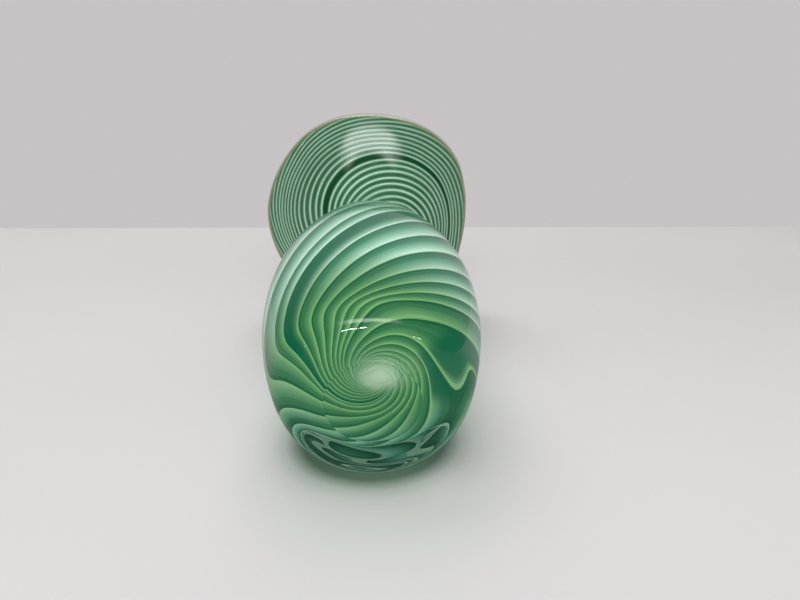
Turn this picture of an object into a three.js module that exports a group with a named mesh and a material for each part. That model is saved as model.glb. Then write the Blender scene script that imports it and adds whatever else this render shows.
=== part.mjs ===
// Cased glass vase with a spiral cane pattern, lying on its side.
// Units are millimetres, +Z is up, and the surface that the vase lies on is z = 0.
// The vase is drawn upright in its own frame (foot at y = 0, mouth towards +Y) and
// the group at the end leans that frame, so that belly and rim rest on the surface.
import * as THREE from 'three';

// ---------------------------------------------------------------- dimensions
const LEAN_DEG = 8.07;          // rise of the vase's axis from foot to mouth
const FOOT_FLAT_RADIUS = 19.5;  // ground flat under the foot
// Angle of each white cane round the axis where it passes CANE_HEIGHT, in degrees.
const CANE_ANGLES = [-28.5, -14.5, 1, 16.5, 35.3, 54, 72.8, 93, 106, 130, 159.8, 184, 209, 230, 254, 278, 303];
// How far each cane drifts round the axis, in degrees, between the body and the rim.
const CANE_DRIFT = [21.9, 26.9, 30.4, 31.9, 33.1, 33.4, 33.6, 42.4, 50.4, 49.4, 44.6, 45.4, 44.4, 46.4, 43.4, 38.9, 33.4];
const DRIFT_FROM = 88;          // height where the drift starts
const DRIFT_TO = 186;           // height where it is complete
const CANE_HEIGHT = 76;
const CANE_RADIUS = 0.38;       // half width of a cane
const BEAD_RADIUS = 11.8;       // opal bead where the canes meet
const BEAD_HALF_THICKNESS = 0.4;
const CANE_START_RADIUS = 13.8;  // a cane's first point, from the axis
const CANE_FLATTENING = 0.65;   // thickness of a cane across the wall, against its width
const CANE_END_GAP = 2.4;       // a cane stops this far short of the lip

const SIDES = 28;               // flats round the axis on the turned pieces

// Outer profile of the clear casing from the foot's edge to the lip: [radius, height].
const OUTER = [
  [FOOT_FLAT_RADIUS, 0], [25.5, 0.8], [31.0, 2.1], [35.0, 4.0], [38.2, 6.8], [41.0, 11.2], [43.9, 18.6],
  [46.5, 27.5], [48.6, 37.0], [50.2, 46.0], [51.3, 55.5], [51.9, 65.5], [52.0, 75.5],
  [51.4, 85.0], [50.1, 94.0], [48.4, 103.0], [46.4, 112.0], [44.1, 121.0], [41.3, 130.0],
  [37.9, 139.0], [33.9, 148.0], [29.4, 156.5], [25.0, 164.5], [22.1, 172.3], [21.5, 180.0],
  [24.3, 188.0], [29.9, 195.2], [37.2, 201.8], [45.4, 207.8], [54.0, 213.1], [63.2, 218.0], [72.7, 222.3],
];
// Surface on which the canes lie, from the axis to the lip: [radius, height].
const CANE_SURFACE = [
  [0, 32.0], [7, 32.2], [14, 32.8], [20.5, 33.8], [26.8, 35.4], [32.3, 37.8], [36.9, 41.0], [40.3, 45.2], [42.8, 50.2],
  [44.4, 56.0], [45.2, 62.6], [45.4, 69.8], [45.0, 77.4], [44.1, 85.2], [42.7, 93.0], [40.8, 100.9], [38.5, 109.0],
  [36.0, 117.2], [33.4, 125.4], [30.6, 133.6], [27.5, 141.6],
  [24.2, 149.5], [21.2, 157.4], [18.9, 165.4], [17.9, 173.4], [18.3, 181.4], [22.0, 189.6],
  [28.2, 196.8], [35.9, 203.4], [44.2, 209.4], [53.1, 214.8], [62.3, 219.6], [71.4, 223.8],
];
// Offsets from the cane surface, outwards positive, against height: [height, casing wall, liner wall].
const CHANNEL = [[32, 1.05, -0.98], [60, 1.05, -0.93], [120, 1.1, -0.85], [150, 1.0, -0.9], [186, 0.9, -1.05], [205, 1.0, -1.25], [224, 1.0, -1.25]];
// Wall thickness of the green liner and of the inner gather, and the gap between them, against height.
const LINER_WALL = [[32, 1.8], [140, 1.5], [186, 1.0], [224, 0.6]];
const GATHER_WALL = [[32, 2.6], [120, 2.0], [186, 1.2], [224, 0.8]];
const SKIN_GAP = [[32, 0.35], [190, 0.35], [206, 0.6], [224, 0.6]];
// Tangent of the angle between a cane and the meridian, against height on the cane surface.
const CANE_SLOPE = [
  [32, 2.2], [32.7, 2.1], [32.9, 2.2], [33.2, 2.6], [33.5, 2.9], [33.9, 2.85], [34.3, 2.4], [34.8, 1.8], [35.4, 1.5],
  [36.1, 1.36], [37.5, 1.26], [40.2, 1.22], [43.8, 1.13], [48.1, 1.12], [52.8, 1.05], [57.7, 0.97], [62.7, 0.9],
  [67.7, 0.85], [72.7, 0.8], [77.6, 0.77], [112, 0.95], [148, 1.12], [173, 1.26], [190, 1.25], [193.4, 1.4], [196.1, 1.7],
  [198.8, 2.0], [201.4, 2.3], [203.8, 2.55], [206.1, 2.95], [208.3, 3.45], [210.4, 4.3], [212.5, 5.5], [214.4, 6.8],
  [216.3, 8.3], [218, 9.0], [221, 8.7], [224, 8.7],
];
// The heel is a little fuller on the side that the vase lies on: extra radius, drop towards the foot,
// height of the middle of the bulge, its spread along the axis, and its direction round the axis.
const HEEL_OUT = 2.6;
const HEEL_DOWN = 1.5;
const HEEL_HEIGHT = 6;
const HEEL_SPREAD = 14;
const HEEL_DIRECTION_DEG = -85;
// Waves of the rim: [degrees round the axis from +X, relative radius change, height change].
const WAVE_START = 184;
const WAVE_END = 222.3;
const RIM_WAVE = [
  [0, -0.052, 5.0], [18, -0.036, 2.5], [36, 0.004, -1.5], [54, 0.010, -3.0], [72, -0.004, -3.5],
  [90, -0.010, -3.0], [108, 0.002, -3.2], [126, 0.004, -2.0], [144, -0.008, 1.5], [162, 0.004, 5.0],
  [180, 0.030, 6.5], [198, 0.034, 4.0], [216, 0.040, 0.5], [230, 0.086, -1.0], [244.3, 0.118, -2.0],
  [257, 0.066, -0.8], [270, 0.020, 0.4], [283, 0.066, -0.8], [295.7, 0.118, -2.0], [310, 0.080, -1.0],
  [326, 0.016, 0.5], [343, -0.036, 4.0],
];

const GLASS_CLEAR = { color: 0xdfe9e2, roughness: 0.05, metalness: 0.0, transparent: true, opacity: 0.35 };
const GLASS_GREEN = { color: 0x2f8a57, roughness: 0.15, metalness: 0.0 };
const GLASS_OPAL = { color: 0xdfeadb, roughness: 0.2, metalness: 0.0 };

// ---------------------------------------------------------------- helpers
const table = (rows, x, col = 1) => {
  if (x <= rows[0][0]) return rows[0][col];
  for (let i = 1; i < rows.length; i++) {
    if (x <= rows[i][0]) {
      const [a, b] = [rows[i - 1], rows[i]];
      return a[col] + (b[col] - a[col]) * (x - a[0]) / (b[0] - a[0]);
    }
  }
  return rows[rows.length - 1][col];
};

// Periodic Catmull-Rom through the wave table.
const waveAt = (angle, col) => {
  const n = RIM_WAVE.length;
  let d = THREE.MathUtils.radToDeg(angle) % 360;
  if (d < 0) d += 360;
  let i = n - 1;
  while (i > 0 && RIM_WAVE[i][0] > d) i--;
  const at = (k) => {
    const turns = Math.floor(k / n);
    const row = RIM_WAVE[k - turns * n];
    return [row[0] + 360 * turns, row[col]];
  };
  const [p0, p1, p2, p3] = [at(i - 1), at(i), at(i + 1), at(i + 2)];
  const u = (d - p1[0]) / (p2[0] - p1[0]);
  const m1 = (p2[1] - p0[1]) / (p2[0] - p0[0]) * (p2[0] - p1[0]);
  const m2 = (p3[1] - p1[1]) / (p3[0] - p1[0]) * (p2[0] - p1[0]);
  const u2 = u * u, u3 = u2 * u;
  return (2 * u3 - 3 * u2 + 1) * p1[1] + (u3 - 2 * u2 + u) * m1 + (3 * u2 - 2 * u3) * p2[1] + (u3 - u2) * m2;
};

// The wave at the edges between the flats: it runs straight from one edge to the next.
const flatWave = (i, col) => waveAt((i / SIDES + 0.25) * 2 * Math.PI, col);

// Moves a point of the plain vase to its place on the real one, with its uneven heel and wavy rim.
const wave = (v) => {
  const reach = THREE.MathUtils.smoothstep(Math.hypot(v.x, v.z), 22, 38);
  if (reach > 0 && v.y < 60) {
    const radius = Math.hypot(v.x, v.z);
    const toward = Math.cos(Math.atan2(v.z, v.x) - THREE.MathUtils.degToRad(HEEL_DIRECTION_DEG));
    const bulge = reach * Math.exp(-0.5 * ((v.y - HEEL_HEIGHT) / HEEL_SPREAD) ** 2) * Math.max(0, toward) ** 1.25;
    v.x *= 1 + HEEL_OUT * bulge / radius;
    v.z *= 1 + HEEL_OUT * bulge / radius;
    v.y -= HEEL_DOWN * bulge;
  }
  const x = THREE.MathUtils.clamp((v.y - WAVE_START) / (WAVE_END - WAVE_START), 0, 1.15);
  if (x <= 0) return v;
  const w = x * x * (1.35 - 0.35 * x);
  const r = Math.hypot(v.x, v.z);
  if (r < 1e-6) return v;
  const side = (Math.atan2(v.z, v.x) / (2 * Math.PI) - 0.25) * SIDES;
  const i = Math.floor(side), u = side - i;
  const [a, b] = [1, 2].map((col) => (1 - u) * flatWave(i, col) + u * flatWave(i + 1, col));
  v.x *= 1 + w * a;
  v.z *= 1 + w * a;
  v.y += w * b;
  return v;
};

// A dense profile with arc lengths and unit normals that point away from the axis.
const profile = (points, count = 900) => {
  const curve = new THREE.SplineCurve(points.map(([r, y]) => new THREE.Vector2(r, y)));
  const p = curve.getPoints(count);
  const len = [0];
  for (let i = 1; i < p.length; i++) len.push(len[i - 1] + p[i].distanceTo(p[i - 1]));
  const normal = p.map((_, i) => {
    const a = p[Math.max(0, i - 1)], b = p[Math.min(p.length - 1, i + 1)];
    const d = new THREE.Vector2().subVectors(b, a).normalize();
    return new THREE.Vector2(d.y, -d.x);
  });
  const find = (m) => {
    let lo = 0, hi = len.length - 1;
    while (hi - lo > 1) {
      const mid = (lo + hi) >> 1;
      if (len[mid] <= m) lo = mid; else hi = mid;
    }
    return [lo, THREE.MathUtils.clamp((m - len[lo]) / (len[hi] - len[lo]), 0, 1)];
  };
  return {
    length: len[len.length - 1],
    at: (m) => { const [i, u] = find(m); return p[i].clone().lerp(p[i + 1], u); },
    normalAt: (m) => { const [i, u] = find(m); return normal[i].clone().lerp(normal[i + 1], u).normalize(); },
  };
};

const outer = profile(OUTER);
const canes = profile(CANE_SURFACE);

// Point of a layer: distance m along the cane surface, then out along its normal.
const layerPoint = (m, offset) => {
  const p = canes.at(m), n = canes.normalAt(m);
  const q = p.clone().addScaledVector(n, offset);
  if (m <= 0) q.set(0, p.y - offset);
  return q;
};

const mesh = (name, geometry, look) => {
  const m = new THREE.Mesh(geometry, new THREE.MeshStandardMaterial(look));
  m.name = name;
  return m;
};

// A solid of revolution about the vase's axis, carried onto the wavy rim.
const turned = (points, sides) => {
  const g = new THREE.LatheGeometry(points.map((p) => new THREE.Vector2(Math.max(p.x, 0), p.y)), sides);
  const pos = g.attributes.position;
  const v = new THREE.Vector3();
  for (let i = 0; i < pos.count; i++) {
    v.fromBufferAttribute(pos, i);
    wave(v);
    pos.setXYZ(i, v.x, v.y, v.z);
  }
  g.computeVertexNormals();
  return g;
};

// ---------------------------------------------------------------- clear casing
const lipLength = canes.length;
const stations = (steps, ...last) => steps.map((m) => m * lipLength / 255).concat(last.map((back) => lipLength - back));
const casingStations = stations([0, 6, 12, 18, 24, 29, 34, 38.5, 43, 48, 54, 61, 69, 78, 88, 98, 109, 120, 132, 144, 157, 170, 182, 194, 206, 218, 230, 243], 1.6, 0);
const linerStations = stations([0, 8, 16, 23, 29, 34.5, 39.5, 44.5, 50, 57, 66, 77, 89, 102, 116, 131, 143, 153, 162, 170, 177, 184, 191, 198, 206, 215, 226, 239], 1.6, 0);
const hollowStations = stations([0, 14, 24, 32, 39, 46, 54, 64, 77, 92, 111, 132, 150, 164, 175, 186, 197, 209, 223, 239], 0);

const outerStations = [0, 8, 15, 21, 29, 39, 51, 64, 77, 91, 105, 119, 133, 146, 158, 167, 175, 183, 191, 199, 208, 219, 231, 244];
const casingPoints = [new THREE.Vector2(0, 0)];
for (const m of outerStations) casingPoints.push(outer.at(Math.min(m * outer.length / 266, outer.length)));
casingPoints.push(outer.at(outer.length));
const casingWall = (m) => m > lipLength - 0.1 ? 0.25 : table(CHANNEL, canes.at(m).y, 1);
const casingInner = casingStations.map((m) => layerPoint(m, casingWall(m)));
{
  // Rounded lip between the outer wall and the wall towards the canes.
  const a = casingPoints[casingPoints.length - 1], b = casingInner[casingInner.length - 1];
  const d = outer.at(outer.length).sub(outer.at(outer.length - 1.5)).normalize();
  casingPoints.push(a.clone().lerp(b, 0.5).addScaledVector(d, 0.45));
}
casingPoints.push(...casingInner.reverse());

// ---------------------------------------------------------------- green liner and inner gather
const shell = (outside, inside, insideStations) => {
  const a = linerStations.map((m) => layerPoint(m, outside(m)));
  const b = insideStations.map((m) => layerPoint(m, inside(m)));
  return [...a, ...b.reverse()];
};
const linerInFull = (m) => table(CHANNEL, canes.at(m).y, 2) - table(LINER_WALL, canes.at(m).y);
const linerOut = (m) => m > lipLength - 0.1 ? -0.25 : table(CHANNEL, canes.at(m).y, 2);
const linerIn = (m) => linerInFull(m);
const gatherOut = (m) => linerInFull(m) - table(SKIN_GAP, canes.at(m).y);
const gatherIn = (m) => gatherOut(m) - table(GATHER_WALL, canes.at(m).y);

// ---------------------------------------------------------------- canes
// Turn of a cane about the axis against length along the profile.
const TURN = [[0, 0]];
{
  const first = (() => { let m = 0; while (canes.at(m).x < CANE_START_RADIUS) m += 0.05; return m; })();
  TURN.length = 0;
  TURN.push([first, 0]);
  let angle = 0, atHeight = 0;
  for (let m = first; m < lipLength; m += 0.25) {
    const p = canes.at(m + 0.125);
    angle -= 0.25 * table(CANE_SLOPE, p.y) / p.x;
    TURN.push([m + 0.25, angle]);
    if (p.y < CANE_HEIGHT) atHeight = angle;
  }
  for (const row of TURN) row[1] -= atHeight;
}
const turnAt = (m) => table(TURN, m);
const flatAngle = 2 * Math.PI / SIDES;
const driftAt = (m) => m < lipLength / 3 ? 0 : THREE.MathUtils.smoothstep(canes.at(m).y, DRIFT_FROM, DRIFT_TO);
// Angle of a cane round the axis at distance m along the cane surface.
const caneAngle = (cane, m) => THREE.MathUtils.degToRad(CANE_ANGLES[cane] + CANE_DRIFT[cane] * driftAt(m)) + turnAt(m);
// A cane's stations lie where it crosses the edges between the flats of the layers beside it.
const caneStations = (cane) => {
  const last = lipLength - CANE_END_GAP;
  const out = [TURN[0][0]];
  let edge = Math.floor((caneAngle(cane, out[0]) - Math.PI / 2) / flatAngle - 0.35);
  for (let m = out[0]; m < last; m += 0.02) {
    if (caneAngle(cane, m) > Math.PI / 2 + edge * flatAngle) continue;
    if (m - out[0] > 0.8) out.push(m);
    edge -= 1;
  }
  return out;
};

class CaneCurve extends THREE.Curve {
  constructor(cane) {
    super();
    this.cane = cane;
    this.stations = caneStations(cane);
  }
  // The curve's own parameter runs from station to station.
  getUtoTmapping(u) {
    return u;
  }
  place(t) {
    const k = THREE.MathUtils.clamp(t, 0, 1) * (this.stations.length - 1);
    const i = Math.min(Math.floor(k), this.stations.length - 2);
    const m = this.stations[i] + (this.stations[i + 1] - this.stations[i]) * (k - i);
    return [m, caneAngle(this.cane, m)];
  }
  getPoint(t, target = new THREE.Vector3()) {
    const [m, a] = this.place(t);
    const p = canes.at(m);
    target.set(p.x * Math.cos(a), p.y, p.x * Math.sin(a));
    return wave(target);
  }
  // Outward normal of the cane surface.
  normal(t) {
    const [m, a] = this.place(t);
    const n = canes.normalAt(m);
    return new THREE.Vector3(n.x * Math.cos(a), n.y, n.x * Math.sin(a));
  }
}

// A round cane along the curve, then flattened against the layer that it lies on.
const caneGeometry = (cane) => {
  const curve = new CaneCurve(cane);
  const steps = curve.stations.length - 1;
  const g = new THREE.ExtrudeGeometry(caneSection, { steps, bevelEnabled: false, extrudePath: curve });
  const centres = [], normals = [];
  for (let i = 0; i <= steps; i++) {
    centres.push(curve.getPoint(i / steps));
    normals.push(curve.normal(i / steps));
  }
  const pos = g.attributes.position;
  const v = new THREE.Vector3();
  for (let i = 0; i < pos.count; i++) {
    v.fromBufferAttribute(pos, i);
    let near = 0;
    for (let k = 1; k <= steps; k++) if (v.distanceToSquared(centres[k]) < v.distanceToSquared(centres[near])) near = k;
    const high = v.clone().sub(centres[near]).dot(normals[near]);
    v.addScaledVector(normals[near], high * (CANE_FLATTENING - 1));
    pos.setXYZ(i, v.x, v.y, v.z);
  }
  g.computeVertexNormals();
  return g;
};

const caneSection = new THREE.Shape();
for (let i = 0; i < 3; i++) {
  const a = i * 2 * Math.PI / 3;
  const [x, y] = [1.25 * CANE_RADIUS * Math.cos(a), 1.25 * CANE_RADIUS * Math.sin(a)];
  if (i === 0) caneSection.moveTo(x, y); else caneSection.lineTo(x, y);
}
caneSection.closePath();

// ---------------------------------------------------------------- assembly
const vase = new THREE.Group();
vase.add(mesh('clear_casing', turned(casingPoints, SIDES), GLASS_CLEAR));
vase.add(mesh('green_liner', turned(shell(linerOut, linerIn, linerStations), SIDES), GLASS_GREEN));
vase.add(mesh('inner_gather', turned(shell(gatherOut, gatherIn, hollowStations), SIDES), GLASS_CLEAR));

for (let i = 0; i < CANE_ANGLES.length; i++) {
  const name = `white_cane_${String(i + 1).padStart(2, '0')}`;
  vase.add(mesh(name, caneGeometry(i), GLASS_OPAL));
}

{
  const h = BEAD_HALF_THICKNESS;
  const y = (r) => { let m = 0; while (canes.at(m).x < r) m += 0.05; return canes.at(m).y; };
  const [y1, y2] = [y(BEAD_RADIUS * 0.6), y(BEAD_RADIUS)];
  const bead = [
    [0, CANE_SURFACE[0][1] - h], [BEAD_RADIUS * 0.6, y1 - h * 0.85], [BEAD_RADIUS * 0.95, y2 - h * 0.4], [BEAD_RADIUS, y2],
    [BEAD_RADIUS * 0.95, y2 + h * 0.4], [BEAD_RADIUS * 0.6, y1 + h * 0.85], [0, CANE_SURFACE[0][1] + h],
  ].map(([r, z]) => new THREE.Vector2(r, z));
  vase.add(mesh('opal_bead', turned(bead, 18), GLASS_OPAL));
}

// Lean the vase, then stand its lowest point on z = 0 with the footprint's middle at the origin.
const part = new THREE.Group();
vase.rotation.x = THREE.MathUtils.degToRad(LEAN_DEG);
part.add(vase);
part.updateMatrixWorld(true);
const box = new THREE.Box3().setFromObject(part, true);
vase.position.set(-(box.min.x + box.max.x) / 2, -(box.min.y + box.max.y) / 2, -box.min.z);
part.updateMatrixWorld(true);

export default part;
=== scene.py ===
import math

import bpy
import numpy as np
from mathutils import Matrix, Vector


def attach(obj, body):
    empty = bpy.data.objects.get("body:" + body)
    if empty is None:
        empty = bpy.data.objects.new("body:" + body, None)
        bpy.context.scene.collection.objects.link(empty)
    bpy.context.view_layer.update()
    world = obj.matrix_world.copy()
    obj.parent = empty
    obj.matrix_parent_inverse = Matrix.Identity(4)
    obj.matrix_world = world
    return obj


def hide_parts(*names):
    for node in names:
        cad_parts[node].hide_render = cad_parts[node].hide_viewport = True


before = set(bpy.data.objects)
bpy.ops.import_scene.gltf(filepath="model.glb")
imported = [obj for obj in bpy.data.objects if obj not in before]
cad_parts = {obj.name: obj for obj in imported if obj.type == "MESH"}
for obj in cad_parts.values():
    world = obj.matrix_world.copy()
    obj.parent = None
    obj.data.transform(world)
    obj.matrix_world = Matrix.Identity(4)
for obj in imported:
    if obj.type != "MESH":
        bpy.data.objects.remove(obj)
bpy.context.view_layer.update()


# ------------------------------------------------------------------ dimensions (mm, in the vase's own frame)
LEAN = math.radians(8.07)
OFFSET = (2.9807, -116.1575, 43.6717)
FOOT_FLAT = 19.5
OUTER = [
    (19.5, 0), (25.5, 0.8), (31.0, 2.1), (35.0, 4.0), (38.2, 6.8), (41.0, 11.2), (43.9, 18.6),
    (46.5, 27.5), (48.6, 37.0), (50.2, 46.0), (51.3, 55.5), (51.9, 65.5), (52.0, 75.5),
    (51.4, 85.0), (50.1, 94.0), (48.4, 103.0), (46.4, 112.0), (44.1, 121.0), (41.3, 130.0),
    (37.9, 139.0), (33.9, 148.0), (29.4, 156.5), (25.0, 164.5), (22.1, 172.3), (21.5, 180.0),
    (24.3, 188.0), (29.9, 195.2), (37.2, 201.8), (45.4, 207.8), (54.0, 213.1), (63.2, 218.0), (72.7, 222.3),
]
LAYER = [
    (0, 32.0), (7, 32.2), (14, 32.8), (20.5, 33.8), (26.8, 35.4), (32.3, 37.8), (36.9, 41.0), (40.3, 45.2), (42.8, 50.2),
    (44.4, 56.0), (45.2, 62.6), (45.4, 69.8), (45.0, 77.4), (44.1, 85.2), (42.7, 93.0), (40.8, 100.9), (38.5, 109.0),
    (36.0, 117.2), (33.4, 125.4), (30.6, 133.6), (27.5, 141.6),
    (24.2, 149.5), (21.2, 157.4), (18.9, 165.4), (17.9, 173.4), (18.3, 181.4), (22.0, 189.6),
    (28.5, 196.5), (36.25, 203.0), (44.7, 208.8), (53.5, 214.0), (62.85, 218.7), (72.45, 222.85),
]
# Inside of the vase, measured in from the layer: (height, depth).
HOLLOW = [(32, 5.6), (60, 5.4), (120, 4.7), (173, 3.8), (205, 2.7), (224, 1.9)]
CANE_SLOPE = [
    (32, 2.2), (32.7, 2.1), (32.9, 2.2), (33.2, 2.6), (33.5, 2.9), (33.9, 2.85), (34.3, 2.4), (34.8, 1.8), (35.4, 1.5),
    (36.1, 1.36), (37.5, 1.26), (40.2, 1.22), (43.8, 1.13), (48.1, 1.12), (52.8, 1.05), (57.7, 0.97), (62.7, 0.9),
    (67.7, 0.85), (72.7, 0.8), (77.6, 0.77), (112, 0.95), (148, 1.12), (173, 1.26), (190, 1.25), (193.4, 1.4), (196.1, 1.7),
    (198.8, 2.0), (201.4, 2.3), (203.8, 2.55), (206.1, 2.95), (208.3, 3.45), (210.4, 4.3), (212.5, 5.5), (214.4, 6.8),
    (216.3, 8.3), (218, 9.0), (221, 8.7), (224, 8.7),
]
# Angle of each cane round the axis where it passes CANE_HEIGHT, in degrees.
CANE_ANGLES = [-28.5, -14.5, 1, 16.5, 35.3, 54, 72.8, 93, 106, 130, 159.8, 184, 209, 230, 254, 278, 303]
# How far each cane drifts round the axis, in degrees, between the body and the rim.
CANE_DRIFT = [21.9, 26.9, 30.4, 31.9, 33.1, 33.4, 33.6, 42.4, 50.4, 49.4, 44.6, 45.4, 44.4, 46.4, 43.4, 38.9, 33.4]
DRIFT_FROM, DRIFT_TO = 88, 186
COUNT = len(CANE_ANGLES)
CANE_HEIGHT = 76
TEAL_STRIPE = 6
# The heel is a little fuller on the side that the vase lies on.
HEEL_OUT, HEEL_DOWN, HEEL_HEIGHT, HEEL_SPREAD = 2.6, 1.5, 6, 14
HEEL_DIRECTION = math.radians(-85)
WAVE_START, WAVE_END = 184.0, 222.3
RIM_WAVE = [
    (0, -0.052, 5.0), (18, -0.036, 2.5), (36, 0.004, -1.5), (54, 0.010, -3.0), (72, -0.004, -3.5),
    (90, -0.010, -3.0), (108, 0.002, -3.2), (126, 0.004, -2.0), (144, -0.008, 1.5), (162, 0.004, 5.0),
    (180, 0.030, 6.5), (198, 0.034, 4.0), (216, 0.040, 0.5), (230, 0.076, -1.0), (244.3, 0.100, -2.0),
    (257, 0.066, -0.8), (270, 0.020, 0.4), (283, 0.062, -0.8), (295.7, 0.100, -2.0), (310, 0.080, -1.0),
    (326, 0.016, 0.5), (343, -0.036, 4.0),
]
COLUMNS = 288

# ------------------------------------------------------------------ curves


def spline(points, step=0.5, soften=2.0, mirror=False):
    """Evenly spaced points on a smooth curve through the points, softened along its length."""
    p = np.array(points, float)
    if mirror:
        q = p[1:8].copy()
        q[:, 0] *= -1
        p = np.vstack([q[::-1], p])
    t = np.concatenate([[0], np.cumsum(np.hypot(*np.diff(p, axis=0).T))])
    n = len(t)
    h = np.diff(t)
    a = np.zeros((n, n))
    b = np.zeros((n, 2))
    a[0, 0] = a[-1, -1] = 1
    for i in range(1, n - 1):
        a[i, i - 1], a[i, i], a[i, i + 1] = h[i - 1], 2 * (h[i - 1] + h[i]), h[i]
        b[i] = 6 * ((p[i + 1] - p[i]) / h[i] - (p[i] - p[i - 1]) / h[i - 1])
    m = np.linalg.solve(a, b)
    x = np.arange(0, t[-1], step / 4)
    x = np.append(x, t[-1])
    k = np.clip(np.searchsorted(t, x, side="right") - 1, 0, n - 2)
    u = (x - t[k])[:, None]
    hk = h[k][:, None]
    c = (p[k] + u * ((p[k + 1] - p[k]) / hk - hk * (2 * m[k] + m[k + 1]) / 6)
         + u ** 2 * m[k] / 2 + u ** 3 * (m[k + 1] - m[k]) / (6 * hk))
    if soften:
        reach = int(3 * soften / (step / 4))
        w = np.exp(-0.5 * (np.arange(-reach, reach + 1) * step / 4 / soften) ** 2)
        w /= w.sum()
        for _ in range(2):
            lead = 2 * c[0] - c[reach:0:-1]
            tail = 2 * c[-1] - c[-2:-reach - 2:-1]
            full = np.vstack([lead, c, tail])
            low = np.stack([np.convolve(full[:, j], w, mode="valid") for j in (0, 1)], 1)
            if _ == 0:
                first = low
                c = c + (c - low)
            else:
                c = low
    if mirror:
        i = int(np.argmin(np.abs(c[:, 0]) + 1e3 * (np.abs(np.arange(len(c)) - len(c) * 0.15) > len(c) * 0.2)))
        c = c[i:]
        c[0, 0] = 0
    s = np.concatenate([[0], np.cumsum(np.hypot(*np.diff(c, axis=0).T))])
    even = np.linspace(0, s[-1], int(round(s[-1] / step)) + 1)
    return np.stack([np.interp(even, s, c[:, 0]), np.interp(even, s, c[:, 1])], 1), even


def normals(c):
    d = np.gradient(c, axis=0)
    d /= np.linalg.norm(d, axis=1)[:, None]
    return np.stack([d[:, 1], -d[:, 0]], 1)


outer, outer_m = spline(OUTER)
layer, layer_m = spline(LAYER, mirror=True)
layer_n = normals(layer)
layer_n[0] = (0, -1)
LENGTH = layer_m[-1]


def col(rows, x, k=1):
    rows = np.array(rows, float)
    return np.interp(x, rows[:, 0], rows[:, k])


def rim_wave(angle, k):
    """Periodic smooth curve through the wave table."""
    d = np.degrees(angle) % 360
    rows = np.array(RIM_WAVE, float)
    n = len(rows)
    i = np.clip(np.searchsorted(rows[:, 0], d, side="right") - 1, 0, n - 1)

    def at(j):
        turn = np.floor_divide(j, n)
        return rows[j - turn * n, 0] + 360 * turn, rows[j - turn * n, k]

    (x0, y0), (x1, y1), (x2, y2), (x3, y3) = at(i - 1), at(i), at(i + 1), at(i + 2)
    u = (d - x1) / (x2 - x1)
    m1 = (y2 - y0) / (x2 - x0) * (x2 - x1)
    m2 = (y3 - y1) / (x3 - x1) * (x2 - x1)
    u2, u3 = u * u, u * u * u
    return (2 * u3 - 3 * u2 + 1) * y1 + (u3 - 2 * u2 + u) * m1 + (3 * u2 - 2 * u3) * y2 + (u3 - u2) * m2


def place(r, s, angle):
    """Points of the vase in metres, from radius, height and angle."""
    u = np.clip((r - 22) / 16, 0, 1)
    bulge = (u * u * (3 - 2 * u) * np.exp(-0.5 * ((s - HEEL_HEIGHT) / HEEL_SPREAD) ** 2)
             * np.maximum(0, np.cos(angle - HEEL_DIRECTION)) ** 1.25)
    r = r + HEEL_OUT * bulge
    s = s - HEEL_DOWN * bulge
    x = np.clip((s - WAVE_START) / (WAVE_END - WAVE_START), 0, 1.15)
    w = x * x * (1.35 - 0.35 * x)
    k = 1 + w * rim_wave(angle, 1)
    y = s + w * rim_wave(angle, 2)
    px, pz = r * k * np.cos(angle), r * k * np.sin(angle)
    wy = y * math.cos(LEAN) - pz * math.sin(LEAN)
    wz = y * math.sin(LEAN) + pz * math.cos(LEAN)
    return np.stack([px + OFFSET[0], wy + OFFSET[1], wz + OFFSET[2]], -1) / 1000


# Turn of a cane about the axis against length along the layer.
_r = np.maximum(layer[:, 0], 2.0)
_rate = col(CANE_SLOPE, layer[:, 1]) / _r
TURN = -np.concatenate([[0], np.cumsum((_rate[1:] + _rate[:-1]) / 2 * np.diff(layer_m))])
TURN -= np.interp(CANE_HEIGHT, layer[:, 1], TURN)


_u = np.clip((layer[:, 1] - DRIFT_FROM) / (DRIFT_TO - DRIFT_FROM), 0, 1) * (layer_m > 60)
DRIFT = _u * _u * (3 - 2 * _u)


def cane_marks(k):
    """Angles of the canes, free of the turn, at each of the layer's rows k."""
    base = np.radians(np.array(CANE_ANGLES + [CANE_ANGLES[0] + 360]))
    move = np.radians(np.array(CANE_DRIFT + [CANE_DRIFT[0]]))
    return base + DRIFT[k][:, None] * move


def phase_of(b, k):
    """Cane number, counted through the canes' uneven spacing, for an angle free of the turn at row k of the layer."""
    marks = cane_marks(k)
    lap = np.floor((b - marks[:, 0]) / (2 * math.pi))
    x = b - lap * 2 * math.pi
    i = np.clip((x[:, None] >= marks).sum(1) - 1, 0, COUNT - 1)
    rows = np.arange(len(x))
    return lap * COUNT + i + (x - marks[rows, i]) / (marks[rows, i + 1] - marks[rows, i])


# ------------------------------------------------------------------ mesh helpers


def new_object(name, verts, faces, smooth=True):
    me = bpy.data.meshes.new(name)
    me.from_pydata([tuple(v) for v in verts], [], [tuple(f) for f in faces])
    me.update()
    if smooth:
        me.polygons.foreach_set("use_smooth", [True] * len(me.polygons))
    ob = bpy.data.objects.new(name, me)
    bpy.context.scene.collection.objects.link(ob)
    return ob


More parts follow.
